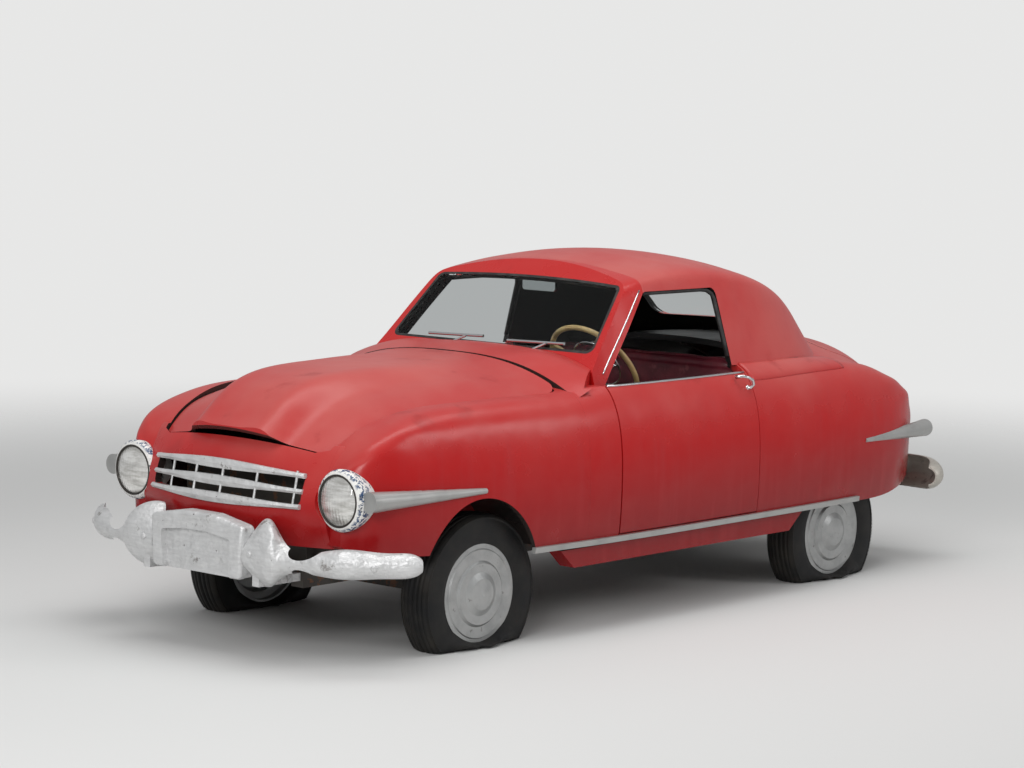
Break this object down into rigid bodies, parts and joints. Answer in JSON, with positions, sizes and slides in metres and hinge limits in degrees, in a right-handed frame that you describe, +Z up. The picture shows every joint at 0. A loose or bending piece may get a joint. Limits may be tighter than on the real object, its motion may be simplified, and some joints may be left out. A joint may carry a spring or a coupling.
{
  "type": "compact convertible",
  "caption": "Small late-1940s convertible with a folding steel top, rounded full-width body, opening doors, hood and trunk lid, steered front wheels and flat tyres",
  "frame": {"origin": "on the ground, midway between the bumpers' tips and on the centre plane", "axes": "+Z up, front of the car faces -Y, +X is the car's own left side"},
  "size_m": [1.7808, 4.0237, 1.4415],
  "materials": {
    "body_paint": "satin",
    "lamp_paint": "satin",
    "lamp_lens": "gloss",
    "window": "gloss",
    "silver_paint": "satin",
    "bright_trim": "satin",
    "tyre": "matt",
    "seal_rubber": "matt",
    "seat_cover": "satin",
    "ivory_plastic": "gloss",
    "black_paint": "satin",
    "dark_steel": "matt",
    "floor_paint": "matt",
    "mirror_glass": "gloss"
  },
  "bodies": {
    "car_body": {"nose_panel": "body_paint", "front_fender_left": "body_paint", "front_fender_right": "body_paint", "cowl": "body_paint", "rear_body": "body_paint", "windscreen_frame": "body_paint", "roof_front_panel": "body_paint", "roof_rear_panel": "body_paint", "windscreen_seal": "seal_rubber", "window_glass": "window", "chassis_frame": "dark_steel", "engine_block": "dark_steel", "exhaust_pipe": "dark_steel", "fuel_tank": "dark_steel", "front_axle": "dark_steel", "rear_axle": "dark_steel", "leaf_springs": "dark_steel", "steering_column": "dark_steel", "floor_pan": "floor_paint", "sill_pans": "floor_paint", "grille_bars": "silver_paint", "front_bumper": "silver_paint", "rear_bumper": "silver_paint", "headlamp_lenses": "lamp_lens", "headlamp_pods": "lamp_paint", "side_trim": "bright_trim", "wipers": "bright_trim", "bench_seat": "seat_cover", "dashboard": "black_paint", "interior_mirror": "mirror_glass"},
    "knuckle_left": {"knuckle_left": "dark_steel"},
    "knuckle_right": {"knuckle_right": "dark_steel"},
    "wheel_front_left": {"tyre_front_left": "tyre", "wheel_front_left": "bright_trim"},
    "wheel_front_right": {"tyre_front_right": "tyre", "wheel_front_right": "bright_trim"},
    "wheel_rear_left": {"tyre_rear_left": "tyre", "wheel_rear_left": "bright_trim"},
    "wheel_rear_right": {"tyre_rear_right": "tyre", "wheel_rear_right": "bright_trim"},
    "steering_wheel": {"steering_wheel": "ivory_plastic"},
    "door_left": {"door_left": "body_paint"},
    "door_right": {"door_right": "body_paint"},
    "hood": {"hood": "body_paint"},
    "trunk_lid": {"trunk_lid": "body_paint"}
  },
  "joints": [
    {"name": "steer_left", "type": "hinge", "parent": "car_body", "child": "knuckle_left", "pos_m": [0.5, -1.143, 0.206], "axis": [0, 0, 1], "range_deg": [-26, 26]},
    {"name": "steer_right", "type": "hinge", "parent": "car_body", "child": "knuckle_right", "pos_m": [-0.5, -1.143, 0.206], "axis": [0, 0, 1], "range_deg": [-26, 26]},
    {"name": "spin_front_left", "type": "hinge", "parent": "knuckle_left", "child": "wheel_front_left", "pos_m": [0.588, -1.143, 0.206], "axis": [1, 0, 0], "continuous": true},
    {"name": "spin_front_right", "type": "hinge", "parent": "knuckle_right", "child": "wheel_front_right", "pos_m": [-0.588, -1.143, 0.206], "axis": [1, 0, 0], "continuous": true},
    {"name": "spin_rear_left", "type": "hinge", "parent": "car_body", "child": "wheel_rear_left", "pos_m": [0.588, 1.143, 0.206], "axis": [1, 0, 0], "continuous": true},
    {"name": "spin_rear_right", "type": "hinge", "parent": "car_body", "child": "wheel_rear_right", "pos_m": [-0.588, 1.143, 0.206], "axis": [1, 0, 0], "continuous": true},
    {"name": "turn_steering_wheel", "type": "hinge", "parent": "car_body", "child": "steering_wheel", "pos_m": [0.33, -0.11, 0.985], "axis": [0, 0.809, 0.5878], "range_deg": [-416, 416]},
    {"name": "open_door_left", "type": "hinge", "parent": "car_body", "child": "door_left", "pos_m": [0.779, -0.456, 0.66], "axis": [0, 0, -1], "range_deg": [0, 60]},
    {"name": "open_door_right", "type": "hinge", "parent": "car_body", "child": "door_right", "pos_m": [-0.779, -0.456, 0.66], "axis": [0, 0, 1], "range_deg": [0, 60]},
    {"name": "open_hood", "type": "hinge", "parent": "car_body", "child": "hood", "pos_m": [0, -0.67, 1.06], "axis": [-1, 0, 0], "range_deg": [0, 40]},
    {"name": "open_trunk_lid", "type": "hinge", "parent": "car_body", "child": "trunk_lid", "pos_m": [0, 1.375, 1.03], "axis": [1, 0, 0], "range_deg": [0, 60]}
  ],
  "couplings": [
    {"joint": "steer_right", "follows": "steer_left", "ratio": 1},
    {"joint": "turn_steering_wheel", "follows": "steer_left", "ratio": 16}
  ]
}
